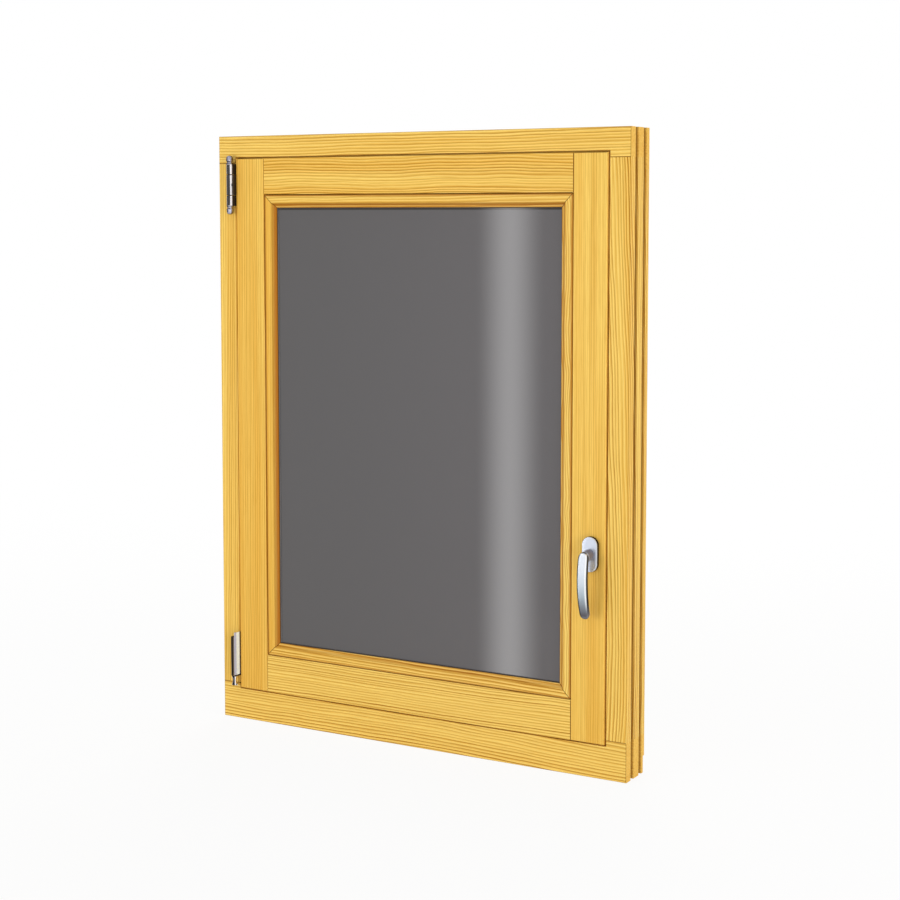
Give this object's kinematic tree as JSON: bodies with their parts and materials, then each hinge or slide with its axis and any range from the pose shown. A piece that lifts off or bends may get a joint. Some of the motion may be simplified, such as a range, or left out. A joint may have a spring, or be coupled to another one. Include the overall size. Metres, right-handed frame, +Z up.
{
  "type": "tilt and turn window",
  "caption": "Pine tilt and turn window with a mitre-beaded sealed glass unit, hinges on the left and a lever handle on the right.",
  "frame": {"origin": "middle of the sill's flat underside, centred on the frame's width and depth", "axes": "+X to the right as seen from the room, +Y outdoors through the wall, +Z up; the handle side faces -Y"},
  "size_m": [0.865, 0.1226, 1.135],
  "materials": {
    "pine": "clear satin varnish on planed pine",
    "bead_pine": "clear satin varnish on moulded pine",
    "glass": "grey solar-control float glass that looks dark from both sides",
    "spacer": "mill finish",
    "gasket": "matt black",
    "seal": "matt black",
    "rain_rail": "satin anodised",
    "rail_cap": "matt",
    "hinge": "bright zinc plating",
    "hinge_pin": "polished nickel plating",
    "handle": "satin anodised",
    "spindle": "zinc plating"
  },
  "bodies": {
    "window": {"frame_head": "pine", "frame_sill": "pine", "frame_jamb_left": "pine", "frame_jamb_right": "pine", "sash_stile_left": "pine", "sash_stile_right": "pine", "sash_top_rail": "pine", "sash_bottom_rail": "pine", "bead_left": "bead_pine", "bead_right": "bead_pine", "bead_top": "bead_pine", "bead_bottom": "bead_pine", "glass_inner_pane": "glass", "glass_outer_pane": "glass", "glass_spacer": "spacer", "glazing_gasket_inner": "gasket", "glazing_gasket_outer": "gasket", "sash_seal_inner": "seal", "sash_seal_outer": "seal", "rain_rail": "rain_rail", "rain_rail_cap_left": "rail_cap", "rain_rail_cap_right": "rail_cap", "top_hinge_bearing": "hinge", "top_hinge_band": "hinge", "top_hinge_pin": "hinge_pin", "bottom_hinge_band": "hinge", "bottom_hinge_bearing": "hinge", "bottom_hinge_pin": "hinge_pin", "handle_rosette": "handle"},
    "handle": {"handle_lever": "handle", "handle_spindle": "spindle"}
  },
  "joints": [
    {"name": "handle_turn", "type": "hinge", "parent": "window", "child": "handle", "pos_m": [0.3645, -0.042, 0.398], "axis": [0, 1, 0], "range_deg": [0, 180]}
  ]
}
